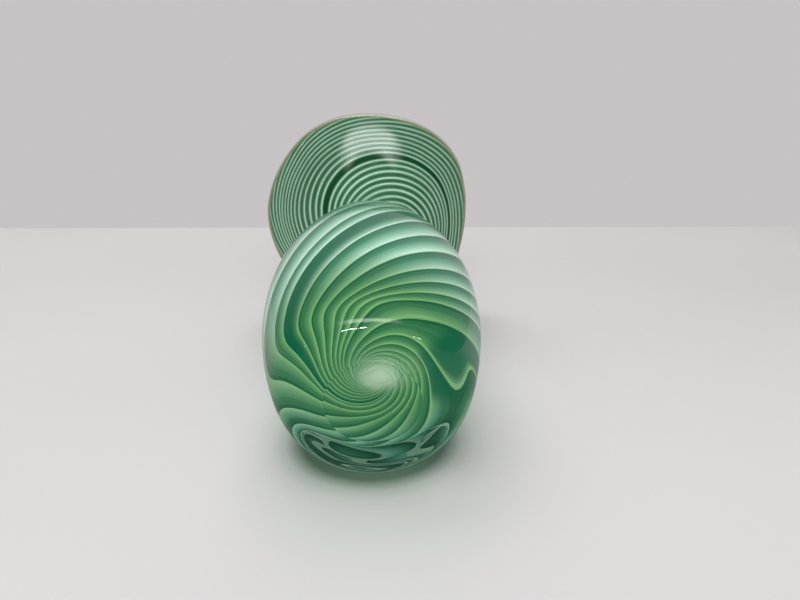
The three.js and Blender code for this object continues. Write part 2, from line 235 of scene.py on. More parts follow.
def revolve(name, profile, columns=COLUMNS, sharp_rows=()):
    """A closed solid from a profile that starts and ends on the axis, or a closed ring from one that meets itself."""
    prof = np.array(profile, float)
    ang = np.arange(columns) * 2 * math.pi / columns
    on_axis = prof[0, 0] < 1e-6
    verts, index = [], []
    for i, (r, s) in enumerate(prof):
        if r < 1e-6:
            index.append([len(verts)] * columns)
            verts.append(place(np.array([0.0]), np.array([float(s)]), np.array([0.0]))[0])
        else:
            index.append(list(range(len(verts), len(verts) + columns)))
            verts.extend(place(np.full(columns, r), np.full(columns, s), ang))
    rows = len(prof)
    faces, rc = [], []
    last = rows - 1 if on_axis else rows
    for i in range(last):
        a, b = index[i], index[(i + 1) % rows]
        for j in range(columns):
            k = (j + 1) % columns
            quad = [a[j], a[k], b[k], b[j]]
            where = [(i, j), (i, j + 1), (i + 1, j + 1), (i + 1, j)]
            keep = []
            for q, (v, wh) in enumerate(zip(quad, where)):
                if v not in [quad[z] for z in keep]:
                    keep.append(q)
            if len(keep) >= 3:
                faces.append([quad[z] for z in keep][::-1])
                rc.append([where[z] for z in keep][::-1])
    ob = new_object(name, verts, faces)
    if sharp_rows:
        marks = set()
        for i in sharp_rows:
            a = index[i]
            for j in range(columns):
                marks.add((min(a[j], a[(j + 1) % columns]), max(a[j], a[(j + 1) % columns])))
        att = ob.data.attributes.new("sharp_edge", "BOOLEAN", "EDGE")
        flags = [tuple(sorted(e.vertices)) in marks for e in ob.data.edges]
        att.data.foreach_set("value", flags)
    return ob, rc


def outward(ob):
    """Turns every face the same way out, judged by the closed volume's sign."""
    me = ob.data
    vol = 0.0
    me.calc_loop_triangles()
    v = np.array([q.co for q in me.vertices])
    t = np.array([l.vertices for l in me.loop_triangles])
    a, b, c = v[t[:, 0]], v[t[:, 1]], v[t[:, 2]]
    vol = np.einsum("ij,ij->i", a, np.cross(b, c)).sum()
    if vol < 0:
        me.flip_normals()
    return ob


# ------------------------------------------------------------------ materials


def material(name):
    m = bpy.data.materials.new(name)
    m.use_nodes = True
    m.node_tree.nodes.clear()
    return m, m.node_tree.nodes, m.node_tree.links


def clear_glass():
    m, n, l = material("clear_glass")
    out = n.new("ShaderNodeOutputMaterial")
    glass = n.new("ShaderNodeBsdfGlass")
    glass.inputs["IOR"].default_value = 1.5
    glass.inputs["Roughness"].default_value = 0.0
    glass.inputs["Color"].default_value = (0.985, 0.995, 0.99, 1)
    # The ground foot and old handling leave a very faint unevenness.
    tex = n.new("ShaderNodeTexCoord")
    noise = n.new("ShaderNodeTexNoise")
    noise.inputs["Scale"].default_value = 16.0
    noise.inputs["Detail"].default_value = 1.0
    bump = n.new("ShaderNodeBump")
    bump.inputs["Strength"].default_value = 0.05
    bump.inputs["Distance"].default_value = 0.002
    l.new(tex.outputs["Object"], noise.inputs["Vector"])
    l.new(noise.outputs["Fac"], bump.inputs["Height"])
    l.new(bump.outputs["Normal"], glass.inputs["Normal"])
    clear = n.new("ShaderNodeBsdfTransparent")
    # Thick edges let less light through to the floor.
    face = n.new("ShaderNodeLayerWeight")
    face.inputs["Blend"].default_value = 0.5
    tint = ramp(n, [(0.45, (0.90, 0.95, 0.92)), (0.72, (0.40, 0.52, 0.45)), (0.95, (0.06, 0.13, 0.09))])
    l.new(face.outputs["Facing"], tint.inputs["Fac"])
    l.new(tint.outputs["Color"], clear.inputs["Color"])
    path = n.new("ShaderNodeLightPath")
    mix = n.new("ShaderNodeMixShader")
    l.new(path.outputs["Is Shadow Ray"], mix.inputs["Fac"])
    l.new(glass.outputs["BSDF"], mix.inputs[1])
    l.new(clear.outputs["BSDF"], mix.inputs[2])
    l.new(mix.outputs["Shader"], out.inputs["Surface"])
    return m


def ramp(nodes, stops, mode="LINEAR"):
    r = nodes.new("ShaderNodeValToRGB")
    r.color_ramp.interpolation = mode
    e = r.color_ramp.elements
    while len(e) > 1:
        e.remove(e[-1])
    e[0].position, e[0].color = stops[0][0], (*stops[0][1], 1)
    for pos, c in stops[1:]:
        x = e.new(pos)
        x.color = (*c, 1)
    return r


def srgb(r, g, b):
    return tuple(((c / 255) / 12.92 if c <= 10.31 else ((c / 255 + 0.055) / 1.055) ** 2.4) for c in (r, g, b))


def math_node(n, l, op, a, b=None, clamp=False):
    m = n.new("ShaderNodeMath")
    m.operation = op
    m.use_clamp = clamp
    for i, v in enumerate((a, b)):
        if v is None:
            continue
        if isinstance(v, (int, float)):
            m.inputs[i].default_value = v
        else:
            l.new(v, m.inputs[i])
    return m.outputs[0]


def mix_colour(n, l, fac, a, b, mode="MIX"):
    m = n.new("ShaderNodeMix")
    m.data_type = "RGBA"
    m.blend_type = mode
    for sock, v in ((m.inputs[0], fac), (m.inputs[6], a), (m.inputs[7], b)):
        if isinstance(v, (int, float)):
            sock.default_value = v
        elif isinstance(v, tuple):
            sock.default_value = (*v, 1) if len(v) == 3 else v
        else:
            l.new(v, sock)
    return m.outputs[2]


def green_layer():
    m, n, l = material("green_glass")
    out = n.new("ShaderNodeOutputMaterial")
    att = n.new("ShaderNodeAttribute")
    att.attribute_name = "stripe"
    sep = n.new("ShaderNodeSeparateXYZ")
    l.new(att.outputs["Vector"], sep.inputs[0])
    phase, along = sep.outputs[0], sep.outputs[1]
    frac = math_node(n, l, "FRACT", phase)
    number = math_node(n, l, "FLOOR", phase)
    # From one cane to the next, going outwards: pale at the cane, then deeper.
    side = ramp(n, [
        (0.00, srgb(222, 240, 232)), (0.08, srgb(214, 236, 224)), (0.18, srgb(186, 220, 204)), (0.36, srgb(144, 194, 172)),
        (0.62, srgb(80, 146, 120)), (0.86, srgb(22, 110, 82)), (0.95, srgb(20, 110, 80)), (1.0, srgb(140, 194, 172)),
    ])
    base = ramp(n, [
        (0.00, srgb(146, 194, 142)), (0.10, srgb(122, 176, 120)), (0.35, srgb(80, 144, 90)),
        (0.65, srgb(36, 116, 70)), (0.90, srgb(8, 94, 58)), (0.97, srgb(8, 92, 58)), (1.0, srgb(86, 150, 100)),
    ])
    l.new(frac, side.inputs["Fac"])
    l.new(frac, base.inputs["Fac"])
    where = n.new("ShaderNodeMapRange")
    where.interpolation_type = "SMOOTHSTEP"
    where.inputs["From Min"].default_value = 24.0
    where.inputs["From Max"].default_value = 50.0
    l.new(along, where.inputs["Value"])
    both = mix_colour(n, l, where.outputs["Result"], base.outputs["Color"], side.outputs["Color"])
    # Towards the rim the bands are even, pale about the cane and deep half way.
    rim = ramp(n, [
        (0.00, srgb(206, 226, 212)), (0.10, srgb(190, 214, 196)), (0.24, srgb(124, 170, 138)), (0.40, srgb(62, 126, 88)),
        (0.50, srgb(40, 112, 72)), (0.60, srgb(62, 126, 88)), (0.76, srgb(124, 170, 138)), (0.90, srgb(190, 214, 196)), (1.0, srgb(206, 226, 212)),
    ])
    l.new(frac, rim.inputs["Fac"])
    flare = n.new("ShaderNodeMapRange")
    flare.interpolation_type = "SMOOTHSTEP"
    flare.inputs["From Min"].default_value = 168.0
    flare.inputs["From Max"].default_value = 204.0
    l.new(along, flare.inputs["Value"])
    both = mix_colour(n, l, flare.outputs["Result"], both, rim.outputs["Color"])
    # They grow quieter towards the lip.
    quiet = n.new("ShaderNodeMapRange")
    quiet.interpolation_type = "SMOOTHSTEP"
    quiet.inputs["From Min"].default_value = LENGTH - 44
    quiet.inputs["From Max"].default_value = LENGTH - 14
    quiet.inputs["To Max"].default_value = 0.55
    l.new(along, quiet.inputs["Value"])
    both = mix_colour(n, l, quiet.outputs["Result"], both, srgb(98, 142, 114))
    # The shoulder is deeper in colour.
    high = n.new("ShaderNodeMapRange")
    high.interpolation_type = "SMOOTHSTEP"
    high.inputs["From Min"].default_value = 78.0
    high.inputs["From Max"].default_value = 110.0
    high.inputs["To Max"].default_value = 0.62
    l.new(along, high.inputs["Value"])
    high = math_node(n, l, "MULTIPLY", high.outputs["Result"], math_node(n, l, "SUBTRACT", 1.0, flare.outputs["Result"]))
    both = mix_colour(n, l, high, both, mix_colour(n, l, 1.0, both, (0.38, 0.50, 0.48), "MULTIPLY"))
    # Each stripe has its own depth, and one is a wide band of teal.
    lap = math_node(n, l, "FLOOR", math_node(n, l, "MODULO", math_node(n, l, "ADD", number, 10.0 * COUNT + 0.5), float(COUNT)))
    wn = n.new("ShaderNodeTexWhiteNoise")
    wn.noise_dimensions = "1D"
    l.new(lap, wn.inputs["W"])
    deep = mix_colour(n, l, math_node(n, l, "MULTIPLY", wn.outputs["Value"], 0.25), both, srgb(26, 112, 76))
    teal = math_node(n, l, "COMPARE", lap, float(TEAL_STRIPE))
    teal.node.inputs[2].default_value = 0.5
    patch = math_node(n, l, "COMPARE", lap, COUNT - 2.5)
    patch.node.inputs[2].default_value = 0.9
    place_of = n.new("ShaderNodeMapRange")
    place_of.interpolation_type = "SMOOTHSTEP"
    place_of.inputs["From Min"].default_value = 0.84
    place_of.inputs["From Max"].default_value = 0.96
    l.new(math_node(n, l, "COSINE", math_node(n, l, "ADD", sep.outputs[2], math.radians(4))), place_of.inputs["Value"])
    patch = math_node(n, l, "MULTIPLY", patch, place_of.outputs["Result"])
    shade = ramp(n, [(0.0, (0.0,) * 3), (0.12, (0.35,) * 3), (0.4, (0.85,) * 3), (0.95, (1.0,) * 3), (1.0, (0.5,) * 3)])
    l.new(frac, shade.inputs["Fac"])
    inner = ramp(n, [(0.0, (0.0,) * 3), (0.10, (0.1,) * 3), (0.28, (1.0,) * 3), (0.72, (1.0,) * 3), (0.9, (0.1,) * 3), (1.0, (0.0,) * 3)])
    l.new(frac, inner.inputs["Fac"])
    body_only = math_node(n, l, "SUBTRACT", 1.0, flare.outputs["Result"])
    edge_of = ramp(n, [(0.0, (0.0,) * 3), (0.05, (0.45,) * 3), (0.14, (0.85,) * 3), (0.95, (0.85,) * 3), (1.0, (0.3,) * 3)])
    l.new(frac, edge_of.inputs["Fac"])
    dark = math_node(n, l, "MULTIPLY", teal, mix_colour(n, l, flare.outputs["Result"], shade.outputs["Color"], inner.outputs["Color"]))
    patch = math_node(n, l, "MULTIPLY", math_node(n, l, "MULTIPLY", patch, body_only), edge_of.outputs["Color"])
    dark = math_node(n, l, "MAXIMUM", dark, patch)
    band = mix_colour(n, l, dark, deep, mix_colour(n, l, flare.outputs["Result"], srgb(10, 106, 76), srgb(24, 94, 54)))
    # Fine lines run along inside each band.
    sway = math_node(n, l, "MULTIPLY", math_node(n, l, "SINE", math_node(n, l, "MULTIPLY", along, 0.085)), 1.6)
    fine = math_node(n, l, "SINE", math_node(n, l, "ADD", math_node(n, l, "MULTIPLY", phase, 6 * math.pi), sway))
    finer = math_node(n, l, "SINE", math_node(n, l, "SUBTRACT", math_node(n, l, "MULTIPLY", phase, 14 * math.pi), sway))
    fine = math_node(n, l, "ADD", math_node(n, l, "MULTIPLY", fine, 0.5), math_node(n, l, "MULTIPLY", finer, 0.35))
    fine = math_node(n, l, "ADD", math_node(n, l, "MULTIPLY", fine, 0.5), 0.5, True)
    faint = n.new("ShaderNodeMapRange")
    faint.interpolation_type = "SMOOTHSTEP"
    faint.inputs["From Min"].default_value = 34.0
    faint.inputs["From Max"].default_value = 90.0
    faint.inputs["To Min"].default_value = 0.15
    faint.inputs["To Max"].default_value = 0.07
    l.new(along, faint.inputs["Value"])
    lighter = mix_colour(n, l, math_node(n, l, "MULTIPLY", fine, math_node(n, l, "MULTIPLY", faint.outputs["Result"], math_node(n, l, "SUBTRACT", 1.0, dark, True))), band, srgb(150, 206, 158))
    # Painted shade: the side that the vase lies on, facing the floor, is made deeper and bluer.
    underside_shade = n.new("ShaderNodeMapRange")
    underside_shade.interpolation_type = "SMOOTHSTEP"
    underside_shade.inputs["From Min"].default_value = 0.15
    underside_shade.inputs["From Max"].default_value = 0.85
    underside_shade.inputs["To Max"].default_value = 0.8
    l.new(math_node(n, l, "MULTIPLY", math_node(n, l, "SINE", sep.outputs[2]), -1.0), underside_shade.inputs["Value"])
    out_from = n.new("ShaderNodeMapRange")
    out_from.interpolation_type = "SMOOTHSTEP"
    out_from.inputs["From Min"].default_value = 26.0
    out_from.inputs["From Max"].default_value = 50.0
    l.new(along, out_from.inputs["Value"])
    underside_shade = math_node(n, l, "MULTIPLY", math_node(n, l, "MULTIPLY", underside_shade.outputs["Result"], out_from.outputs["Result"]), body_only)
    band = mix_colour(n, l, underside_shade, lighter, mix_colour(n, l, 1.0, lighter, (0.30, 0.68, 0.60), "MULTIPLY"))
    # Milky middle.
    near = n.new("ShaderNodeMapRange")
    near.interpolation_type = "SMOOTHSTEP"
    near.inputs["From Min"].default_value = 1.0
    near.inputs["From Max"].default_value = 15.0
    near.inputs["To Min"].default_value = 0.58
    near.inputs["To Max"].default_value = 0.0
    across = math_node(n, l, "SUBTRACT", math_node(n, l, "MULTIPLY", along, math_node(n, l, "COSINE", sep.outputs[2])), 3.5)
    height = math_node(n, l, "MULTIPLY", along, math_node(n, l, "SINE", sep.outputs[2]))
    across = math_node(n, l, "POWER", math_node(n, l, "ABSOLUTE", math_node(n, l, "MULTIPLY", across, 0.72)), 2.0)
    height = math_node(n, l, "POWER", math_node(n, l, "ABSOLUTE", math_node(n, l, "MULTIPLY", height, 1.2)), 2.0)
    l.new(math_node(n, l, "SQRT", math_node(n, l, "ADD", across, height)), near.inputs["Value"])
    # Its milkiness runs in thin streaks that follow the winding.
    streak = n.new("ShaderNodeTexNoise")
    streak.inputs["Scale"].default_value = 1.0
    streak.inputs["Detail"].default_value = 2.0
    run = n.new("ShaderNodeCombineXYZ")
    l.new(math_node(n, l, "MULTIPLY", along, 1.6), run.inputs[0])
    l.new(math_node(n, l, "MULTIPLY", phase, 0.5), run.inputs[1])
    l.new(run.outputs[0], streak.inputs["Vector"])
    milk = ramp(n, [(0.35, srgb(132, 186, 134)), (0.5, srgb(168, 206, 168)), (0.65, srgb(204, 226, 200))])
    l.new(streak.outputs["Fac"], milk.inputs["Fac"])
    colour = mix_colour(n, l, near.outputs["Result"], band, milk.outputs["Color"])
    # The last of the lip is a little brown.
    end = n.new("ShaderNodeMapRange")
    end.inputs["From Min"].default_value = LENGTH - 2.2
    end.inputs["From Max"].default_value = LENGTH - 0.6
    end.inputs["To Max"].default_value = 0.7
    l.new(along, end.inputs["Value"])
    colour = mix_colour(n, l, end.outputs["Result"], colour, srgb(192, 178, 142))
    diff = n.new("ShaderNodeBsdfDiffuse")
    trans = n.new("ShaderNodeBsdfTranslucent")
    l.new(colour, diff.inputs["Color"])
    l.new(colour, trans.inputs["Color"])
    mix = n.new("ShaderNodeMixShader")
    mix.inputs["Fac"].default_value = 0.42
    l.new(diff.outputs["BSDF"], mix.inputs[1])
    l.new(trans.outputs["BSDF"], mix.inputs[2])
    # Painted glow: the colour emits a little light of its own, more on the body than near the rim, standing in for
    # light that wanders inside the thick glass.
    painted_glow_strength = n.new("ShaderNodeMapRange")
    painted_glow_strength.interpolation_type = "SMOOTHSTEP"
    painted_glow_strength.inputs["From Min"].default_value = 172.0
    painted_glow_strength.inputs["From Max"].default_value = 210.0
    painted_glow_strength.inputs["To Min"].default_value = 0.31
    painted_glow_strength.inputs["To Max"].default_value = 0.10
    l.new(along, painted_glow_strength.inputs["Value"])
    glow = n.new("ShaderNodeEmission")
    l.new(colour, glow.inputs["Color"])
    l.new(painted_glow_strength.outputs["Result"], glow.inputs["Strength"])
    add = n.new("ShaderNodeAddShader")
    l.new(mix.outputs["Shader"], add.inputs[0])
    l.new(glow.outputs["Emission"], add.inputs[1])
    l.new(add.outputs["Shader"], out.inputs["Surface"])
    return m


def opal(name, colour, haze=0.0, base=None):
    m, n, l = material(name)
    out = n.new("ShaderNodeOutputMaterial")
    tex = n.new("ShaderNodeTexCoord")
    noise = n.new("ShaderNodeTexNoise")
    noise.inputs["Scale"].default_value = 55.0
    noise.inputs["Detail"].default_value = 3.0
    l.new(tex.outputs["Object"], noise.inputs["Vector"])
    shade = ramp(n, [(0.3, tuple(c * 0.86 for c in colour)), (0.7, colour)])
    l.new(noise.outputs["Fac"], shade.inputs["Fac"])
    tone = shade.outputs["Color"]
    if base:
        att = n.new("ShaderNodeAttribute")
        att.attribute_name = "along"
        where = n.new("ShaderNodeMapRange")
        where.interpolation_type = "SMOOTHSTEP"
        where.inputs["From Min"].default_value = 24.0
        where.inputs["From Max"].default_value = 54.0
        l.new(att.outputs["Fac"], where.inputs["Value"])
        tone = mix_colour(n, l, where.outputs["Result"], base, tone)
        quiet = n.new("ShaderNodeMapRange")
        quiet.interpolation_type = "SMOOTHSTEP"
        quiet.inputs["From Min"].default_value = LENGTH - 48
        quiet.inputs["From Max"].default_value = LENGTH - 14
        quiet.inputs["To Max"].default_value = 0.6
        l.new(att.outputs["Fac"], quiet.inputs["Value"])
        tone = mix_colour(n, l, quiet.outputs["Result"], tone, srgb(140, 178, 152))
        narrow = ramp(n, [(0.0, (0.0,) * 3), (0.48, (0.0,) * 3), (0.60, (0.55,) * 3), (0.74, (0.55,) * 3), (0.82, (0.0,) * 3)])
        l.new(math_node(n, l, "DIVIDE", att.outputs["Fac"], LENGTH), narrow.inputs["Fac"])
        tone = mix_colour(n, l, narrow.outputs["Color"], tone, srgb(120, 172, 140))
        # Painted shade: on the body, canes close to the floor are made darker and greener.
        up = n.new("ShaderNodeSeparateXYZ")
        l.new(tex.outputs["Object"], up.inputs[0])
        underside_shade = n.new("ShaderNodeMapRange")
        underside_shade.interpolation_type = "SMOOTHSTEP"
        underside_shade.inputs["From Min"].default_value = 0.012
        underside_shade.inputs["From Max"].default_value = 0.034
        underside_shade.inputs["To Min"].default_value = 0.6
        underside_shade.inputs["To Max"].default_value = 0.0
        l.new(up.outputs[2], underside_shade.inputs["Value"])
        body = n.new("ShaderNodeMapRange")
        body.inputs["From Min"].default_value = 150.0
        body.inputs["From Max"].default_value = 190.0
        body.inputs["To Min"].default_value = 1.0
        body.inputs["To Max"].default_value = 0.0
        l.new(att.outputs["Fac"], body.inputs["Value"])
        tone = mix_colour(n, l, math_node(n, l, "MULTIPLY", underside_shade.outputs["Result"], body.outputs["Result"]), tone, srgb(84, 156, 118))
    diff = n.new("ShaderNodeBsdfDiffuse")
    trans = n.new("ShaderNodeBsdfTranslucent")
    l.new(tone, diff.inputs["Color"])
    l.new(tone, trans.inputs["Color"])
    mix = n.new("ShaderNodeMixShader")
    mix.inputs["Fac"].default_value = 0.35
    l.new(diff.outputs["BSDF"], mix.inputs[1])
    l.new(trans.outputs["BSDF"], mix.inputs[2])
    # Painted glow: the opal glass emits a little light of its own.
    glow = n.new("ShaderNodeEmission")
    l.new(tone, glow.inputs["Color"])
    glow.inputs["Strength"].default_value = 0.22
    add = n.new("ShaderNodeAddShader")
    l.new(mix.outputs["Shader"], add.inputs[0])
    l.new(glow.outputs["Emission"], add.inputs[1])
    last = add.outputs["Shader"]
    if haze:
        clear = n.new("ShaderNodeBsdfTransparent")
        face = n.new("ShaderNodeAttribute")
        face.attribute_name = "fade"
        thin = math_node(n, l, "MULTIPLY", face.outputs["Fac"], haze, True)
        over = n.new("ShaderNodeMixShader")
        l.new(thin, over.inputs["Fac"])
        l.new(clear.outputs["BSDF"], over.inputs[1])
        l.new(last, over.inputs[2])
        last = over.outputs["Shader"]
    l.new(last, out.inputs["Surface"])
    return m


CLEAR = clear_glass()
GREEN = green_layer()
OPAL = opal("opal_glass", srgb(214, 240, 224), base=srgb(134, 192, 126))
HAZE = opal("opal_haze", srgb(214, 230, 212), haze=0.5)

# ------------------------------------------------------------------ clear glass: casing and inner gather as one body
hollow = layer - layer_n * col(HOLLOW, layer[:, 1])[:, None]
hollow[0, 0] = 0
keep = [0]
for i in range(1, len(hollow)):
    if hollow[i, 0] > hollow[keep[-1], 0] - 30 and (hollow[i, 0] > 0.2):
        keep.append(i)
hollow = hollow[keep]
skip = 1
foot = [(0, 0)] + [(r, 0) for r in np.linspace(3, FOOT_FLAT, 6)]
sharp_at = len(foot) - 1
wall_out = outer[1::2 * skip]
# Rounded lip.
a, b = outer[-1], hollow[-1]
mid, half = (a + b) / 2, (a - b) / 2
forward = outer[-1] - outer[-4]
forward /= np.linalg.norm(forward)
lip = [mid + half * math.cos(t) + forward * np.linalg.norm(half) * 0.8 * math.sin(t) for t in np.linspace(0, math.pi, 11)]
profile = foot + [tuple(p) for p in wall_out[:-1]] + [tuple(p) for p in lip] + [tuple(p) for p in hollow[:-1][::-1][::2 * skip]]
if profile[-1][0] > 1e-6:
    profile.append((0.0, float(hollow[0, 1])))
glass, _ = revolve("clear_glass_body", profile, sharp_rows=(sharp_at,))
outward(glass)
glass.data.materials.append(CLEAR)
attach(glass, "root")
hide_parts("clear_casing", "inner_gather")

# ------------------------------------------------------------------ green layer
front = layer - layer_n * 0.12
back = layer - layer_n * 1.25
front[0, 0] = back[0, 0] = 0
stop = int(np.searchsorted(layer_m, LENGTH - 0.5))
ok_back = [i for i in range(0, stop, 2 * skip) if i == 0 or back[i, 0] > 0.2]
rows_front = list(range(0, stop, skip)) + [stop]
shell = [tuple(front[i]) for i in rows_front] + [tuple(back[i]) for i in ok_back[::-1]]
rows = rows_front + ok_back[::-1]
green, rc = revolve("green_layer", shell)
fl = green.data.attributes.new("stripe", "FLOAT_VECTOR", "CORNER")
data = []
for f in rc:
    for i, j in f:
        k = rows[min(i, len(rows) - 1)]
        data.append((k, j))
data = np.array(data)
angle = data[:, 1] * 2 * math.pi / COLUMNS
b = angle - TURN[data[:, 0]]
vec = np.stack([phase_of(b, data[:, 0]), layer_m[data[:, 0]], angle], 1).astype(np.float32)
fl.data.foreach_set("vector", vec.ravel())
outward(green)
green.data.materials.append(GREEN)
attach(green, "root")
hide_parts("green_liner")

# ------------------------------------------------------------------ canes
SECTION = 8
m_first = float(np.interp(9.0, layer[:, 0], layer_m))
cane_m = [m_first]
while cane_m[-1] < LENGTH - 1.6:
    r = float(np.interp(cane_m[-1], layer_m, layer[:, 0]))
    rate = float(np.interp(cane_m[-1], layer_m, _rate))
    cane_m.append(cane_m[-1] + min(1.6, 0.09 / rate))
cane_m = np.array(cane_m)
cr = np.interp(cane_m, layer_m, layer[:, 0])
cs = np.interp(cane_m, layer_m, layer[:, 1])
nr = np.interp(cane_m, layer_m, layer_n[:, 0])
ns = np.interp(cane_m, layer_m, layer_n[:, 1])
ct = np.interp(cane_m, layer_m, TURN)
half_width = np.interp(cane_m, [0, 14, 20, 36, 60, 160, 190, 246], [0.12, 0.16, 0.24, 0.34, 0.5, 0.5, 0.55, 0.6])
half_width *= np.clip((LENGTH - 0.6 - cane_m) / 3.0, 0.3, 1) * np.clip((cane_m - m_first + 1) / 8, 0.2, 1)
half_high = np.minimum(0.3, half_width * 0.6)
for c in range(COUNT):
    turn = ct + math.radians(CANE_ANGLES[c]) + math.radians(CANE_DRIFT[c]) * np.interp(cane_m, layer_m, DRIFT)
    centre = place(cr, cs, turn)
    off = place(cr + nr, cs + ns, turn) - centre
    off /= np.linalg.norm(off, axis=1)[:, None]
    tangent = np.gradient(centre, axis=0)
    tangent /= np.linalg.norm(tangent, axis=1)[:, None]
    side = np.cross(tangent, off)
    side /= np.linalg.norm(side, axis=1)[:, None]
    verts = []
    for q in range(SECTION):
        t = 2 * math.pi * q / SECTION
        verts.append(centre + (side * (half_width * math.cos(t))[:, None] + off * (half_high * math.sin(t))[:, None]) / 1000)
    verts = np.stack(verts, 1)
    n = len(centre)
    flat = verts.reshape(-1, 3)
    faces = []
    for i in range(n - 1):
        for q in range(SECTION):
            w = (q + 1) % SECTION
            faces.append((i * SECTION + q, i * SECTION + w, (i + 1) * SECTION + w, (i + 1) * SECTION + q))
    faces.append(tuple(range(SECTION))[::-1])
    faces.append(tuple((n - 1) * SECTION + q for q in range(SECTION)))
    cane = new_object("cane_%02d" % (c + 1), flat, faces)
    att = cane.data.attributes.new("along", "FLOAT", "POINT")
    att.data.foreach_set("value", np.repeat(cane_m, SECTION).astype(np.float32))
    outward(cane)
    cane.data.materials.append(OPAL)
    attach(cane, "root")
    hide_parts("white_cane_%02d" % (c + 1))

# ------------------------------------------------------------------ opal bead
bead_r = np.linspace(0, 11.4, 20)
mid_s = np.interp(bead_r, layer[:, 0], layer[:, 1])
thick = 0.3 * np.sqrt(np.clip(1 - (bead_r / 11.4) ** 2, 0, 1))
bead_prof = [(r, s - 0.75 - t) for r, s, t in zip(bead_r, mid_s, thick)] + [(r, s - 0.75 + t) for r, s, t in zip(bead_r[:-1][::-1], mid_s[:-1][::-1], thick[:-1][::-1])]
bead, _ = revolve("opal_middle", bead_prof, columns=48)
centre = place(np.array([0.0]), np.array([float(mid_s[0])]), np.array([0.0]))[0]
apart = (np.array([q.co for q in bead.data.vertices]) - centre) * 1000 / 11.4
apart = np.sqrt(((apart[:, 0] - 0.25) / 0.9) ** 2 + (apart[:, 2] / 0.7) ** 2)
att = bead.data.attributes.new("fade", "FLOAT", "POINT")
att.data.foreach_set("value", (np.clip(1 - apart ** 2, 0, 1) ** 1.6).astype(np.float32))
outward(bead)
bead.data.materials.append(HAZE)
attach(bead, "root")
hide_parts("opal_bead")

# ------------------------------------------------------------------ floor and surroundings
floor_mat, n, l = material("pale_floor")
out = n.new("ShaderNodeOutputMaterial")
bsdf = n.new("ShaderNodeBsdfPrincipled")
tex = n.new("ShaderNodeTexCoord")
noise = n.new("ShaderNodeTexNoise")
noise.inputs["Scale"].default_value = 2.5
noise.inputs["Detail"].default_value = 2.0
l.new(tex.outputs["Object"], noise.inputs["Vector"])
tone = ramp(n, [(0.35, (0.675, 0.665, 0.665)), (0.65, (0.705, 0.69, 0.69))])
l.new(noise.outputs["Fac"], tone.inputs["Fac"])
# Painted contact shadow: under the vase the floor's colour is darkened and tinted green, standing in for shade and for
# light coming through the glass.
painted_shadow_distance = n.new("ShaderNodeVectorMath")
painted_shadow_distance.operation = "DISTANCE"
l.new(tex.outputs["Object"], painted_shadow_distance.inputs[0])
painted_shadow_distance.inputs[1].default_value = (0.003, -0.070, 0.0)
shade = ramp(n, [(0.0, (0.15, 0.24, 0.18)), (0.345, (0.15, 0.24, 0.18)), (0.385, (0.42, 0.50, 0.45)), (0.425, (0.74, 0.78, 0.76)),
                 (0.49, (0.93, 0.945, 0.935)), (0.58, (0.985, 0.99, 0.985)), (0.75, (1.0, 1.0, 1.0))])
l.new(math_node(n, l, "MULTIPLY", painted_shadow_distance.outputs["Value"], 10.0), shade.inputs["Fac"])
# Painted light falloff: the floor's colour is lighter towards the front and darker towards the back.
spot = n.new("ShaderNodeSeparateXYZ")
l.new(tex.outputs["Object"], spot.inputs[0])
painted_light_falloff = n.new("ShaderNodeMapRange")
painted_light_falloff.interpolation_type = "SMOOTHSTEP"
painted_light_falloff.inputs["From Min"].default_value = -0.16
painted_light_falloff.inputs["From Max"].default_value = 0.25
l.new(spot.outputs[1], painted_light_falloff.inputs["Value"])
plane = mix_colour(n, l, 1.0, tone.outputs["Color"], mix_colour(n, l, painted_light_falloff.outputs["Result"], (1.055, 1.055, 1.055), (0.94, 0.935, 0.935)), "MULTIPLY")
l.new(mix_colour(n, l, 1.0, plane, shade.outputs["Color"], "MULTIPLY"), bsdf.inputs["Base Color"])
bsdf.inputs["Roughness"].default_value = 0.45
bsdf.inputs["Specular IOR Level"].default_value = 0.25
# Painted reflection: in glossy rays the floor is swapped for a dimmer plain colour, darkest towards the front, so the
# glass mirrors it dimmer than it looks directly.
path = n.new("ShaderNodeLightPath")
dim = n.new("ShaderNodeBsdfDiffuse")
behind = n.new("ShaderNodeMapRange")
behind.interpolation_type = "SMOOTHSTEP"
behind.inputs["From Min"].default_value = -0.10
behind.inputs["From Max"].default_value = 0.16
l.new(spot.outputs[1], behind.inputs["Value"])
l.new(mix_colour(n, l, behind.outputs["Result"], (0.24, 0.235, 0.235), (0.50, 0.50, 0.50)), dim.inputs["Color"])
seen_in = n.new("ShaderNodeMixShader")
l.new(path.outputs["Is Glossy Ray"], seen_in.inputs["Fac"])
l.new(bsdf.outputs["BSDF"], seen_in.inputs[1])
l.new(dim.outputs["BSDF"], seen_in.inputs[2])
l.new(seen_in.outputs["Shader"], out.inputs["Surface"])
edge = 0.416
tilt = math.tan(math.radians(-2.1))
fv = [(-3, -0.95, 0), (3, -0.95, 0), (3, edge + 3 * tilt, 0), (-3, edge - 3 * tilt, 0)]
floor = new_object("floor", fv, [(0, 1, 2, 3)], smooth=False)
floor.data.materials.append(floor_mat)

world = bpy.data.worlds.new("surroundings")
bpy.context.scene.world = world
world.use_nodes = True
n, l = world.node_tree.nodes, world.node_tree.links
n.clear()
out = n.new("ShaderNodeOutputWorld")
seen = n.new("ShaderNodeBackground")
seen.inputs["Color"].default_value = (*srgb(199, 195, 197), 1)
